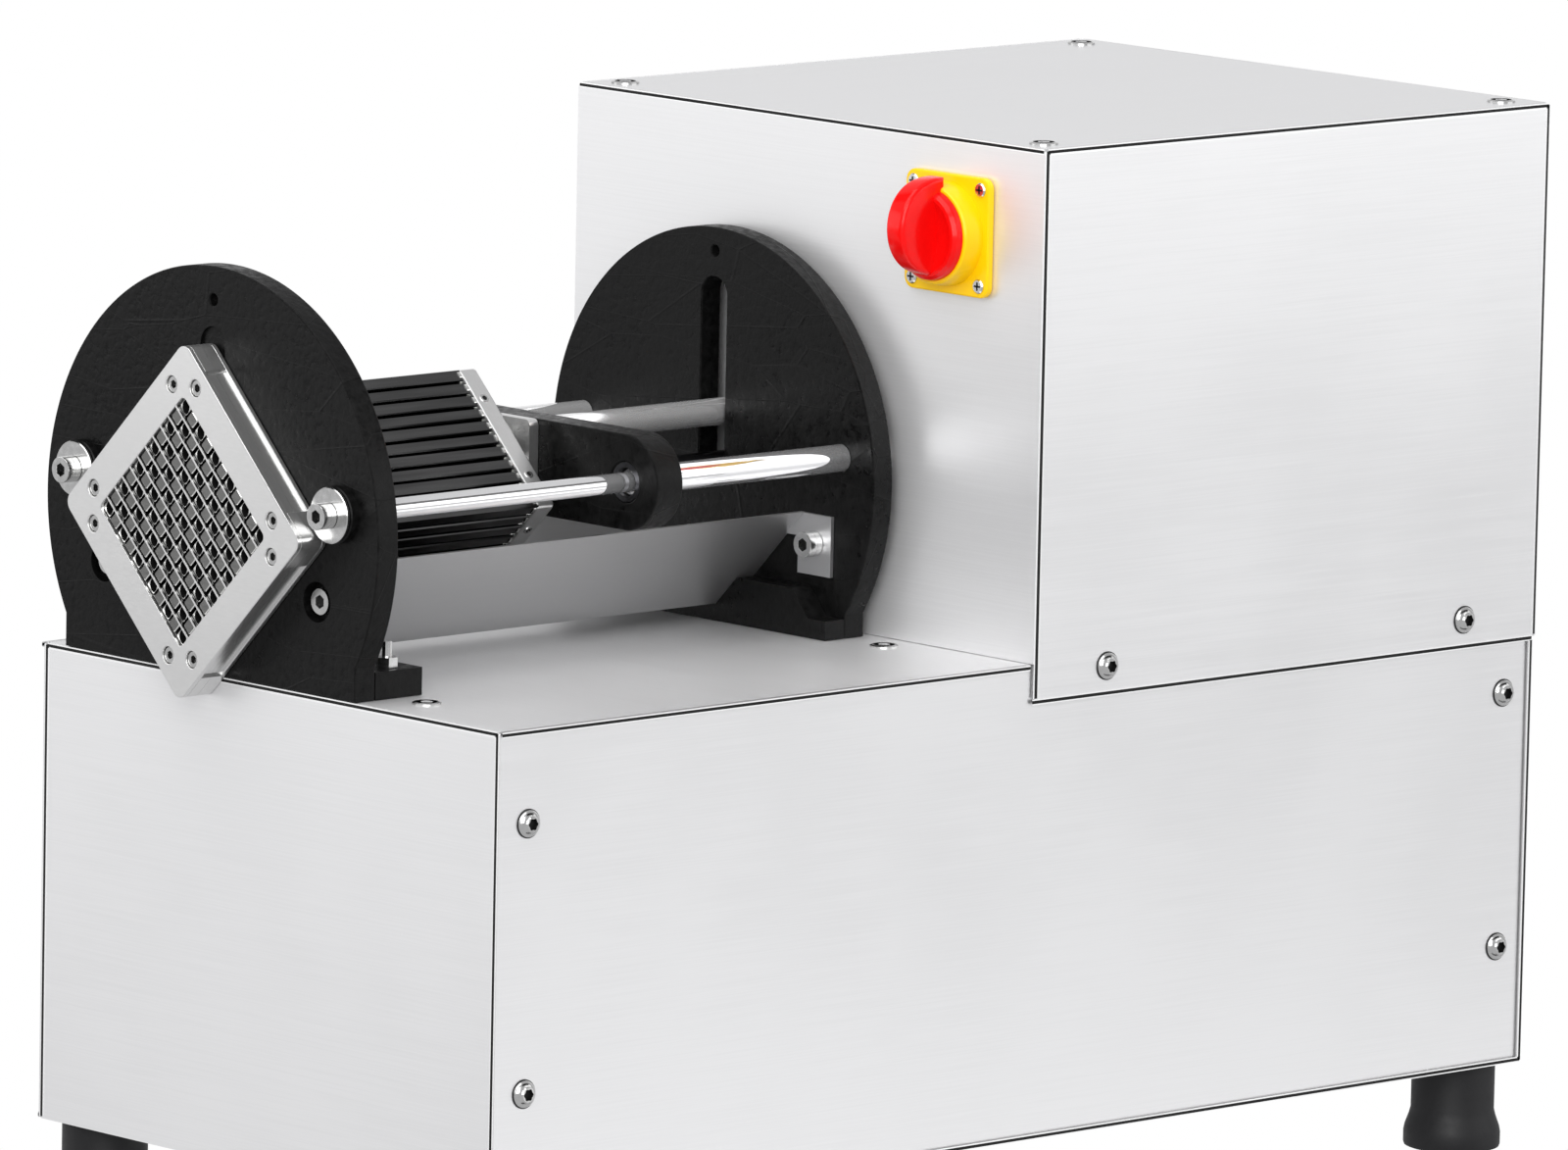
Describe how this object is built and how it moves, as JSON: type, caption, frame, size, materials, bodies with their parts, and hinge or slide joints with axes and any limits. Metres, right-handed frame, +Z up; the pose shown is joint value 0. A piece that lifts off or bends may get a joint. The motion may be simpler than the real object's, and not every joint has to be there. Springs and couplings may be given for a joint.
{
  "type": "french fry cutting machine",
  "caption": "Motorised french fry cutter: a crank-driven bundle of square pins pushes potatoes along a trough and through a square blade grid, on a stainless cabinet.",
  "frame": {"origin": "centre of the footprint, on the floor under the feet", "axes": "+X from the blade grid towards the housing, +Y from the front panel to the back, +Z up"},
  "size_m": [0.7284, 0.3514, 0.5432],
  "materials": {
    "brushed_stainless": "long-grain brushed",
    "machined_steel": "machined bright",
    "chromed_rod": "polished",
    "plated_fastener": "bright plated",
    "dark_steel": "blackened",
    "black_polyethylene": "satin, lightly scratched",
    "black_rubber": "matte",
    "bearing_bronze": "machined",
    "painted_casting": "satin paint",
    "yellow_plastic": "gloss",
    "red_plastic": "gloss"
  },
  "bodies": {
    "cabinet": {"base_back_panel": "brushed_stainless", "base_frame": "brushed_stainless", "base_front_panel": "brushed_stainless", "base_wrap": "brushed_stainless", "blade_ring_front": "machined_steel", "blade_ring_rear": "machined_steel", "cable_gland": "black_polyethylene", "drive_plate": "plated_fastener", "foot_back_left": "black_rubber", "foot_back_right": "black_rubber", "foot_bar_stud_far": "plated_fastener", "foot_bar_stud_near": "plated_fastener", "foot_front_left": "black_rubber", "foot_front_right": "black_rubber", "front_disc": "black_polyethylene", "front_foot_bar": "black_polyethylene", "front_panel_screw_1": "plated_fastener", "front_panel_screw_2": "plated_fastener", "front_panel_screw_3": "plated_fastener", "front_panel_screw_4": "plated_fastener", "gearbox": "painted_casting", "housing_left_panel": "brushed_stainless", "housing_right_panel": "brushed_stainless", "housing_wrap": "brushed_stainless", "motor": "painted_casting", "motor_fan_cover": "dark_steel", "ram_guide_block": "black_polyethylene", "rear_disc": "black_polyethylene", "rear_foot_bar": "black_polyethylene", "skirt_screw_1": "plated_fastener", "skirt_screw_2": "plated_fastener", "switch_body": "black_polyethylene", "switch_plate": "yellow_plastic", "tie_rod_cap_screw_far": "plated_fastener", "tie_rod_cap_screw_near": "plated_fastener", "tie_rod_dome_nut_far": "plated_fastener", "tie_rod_dome_nut_near": "plated_fastener", "tie_rod_far": "chromed_rod", "tie_rod_near": "chromed_rod", "tie_rod_washer_far": "plated_fastener", "tie_rod_washer_near": "plated_fastener", "trough_screw_front_far": "plated_fastener", "trough_screw_front_near": "plated_fastener", "trough_screw_rear_far": "plated_fastener", "trough_screw_rear_near": "plated_fastener", "v_trough": "brushed_stainless"},
    "carriage": {"carriage_plate": "black_polyethylene", "carriage_bush_near": "bearing_bronze", "carriage_bush_far": "bearing_bronze", "pusher_plate": "machined_steel", "adapter_plate": "machined_steel", "pusher_standoff_near": "plated_fastener", "pusher_standoff_far": "plated_fastener", "ram_rod_upper": "chromed_rod", "ram_rod_lower": "dark_steel", "crosshead": "dark_steel"},
    "crank": {"crank": "painted_casting", "output_shaft": "machined_steel"},
    "connecting_rod": {"connecting_rod": "dark_steel"},
    "switch_knob": {"switch_knob": "red_plastic"}
  },
  "joints": [
    {"name": "carriage_slide", "type": "slide", "parent": "cabinet", "child": "carriage", "axis": [1, 0, 0], "range_m": [0, 0.124]},
    {"name": "crank_shaft", "type": "hinge", "parent": "cabinet", "child": "crank", "pos_m": [0.2567, 0.012, 0.388], "axis": [0, 1, 0], "range_deg": [0, 180]},
    {"name": "crank_pin", "type": "hinge", "parent": "crank", "child": "connecting_rod", "pos_m": [0.1947, 0.025, 0.388], "axis": [0, 1, 0], "range_deg": [-180, 0]},
    {"name": "switch_turn", "type": "hinge", "parent": "cabinet", "child": "switch_knob", "pos_m": [-0.0032, -0.107, 0.494], "axis": [-1, 0, 0], "range_deg": [0, 90]}
  ],
  "couplings": [
    {"joint": "crank_shaft", "follows": "carriage_slide", "rad_per_m": 25.335},
    {"joint": "crank_pin", "follows": "carriage_slide", "rad_per_m": -25.335}
  ]
}
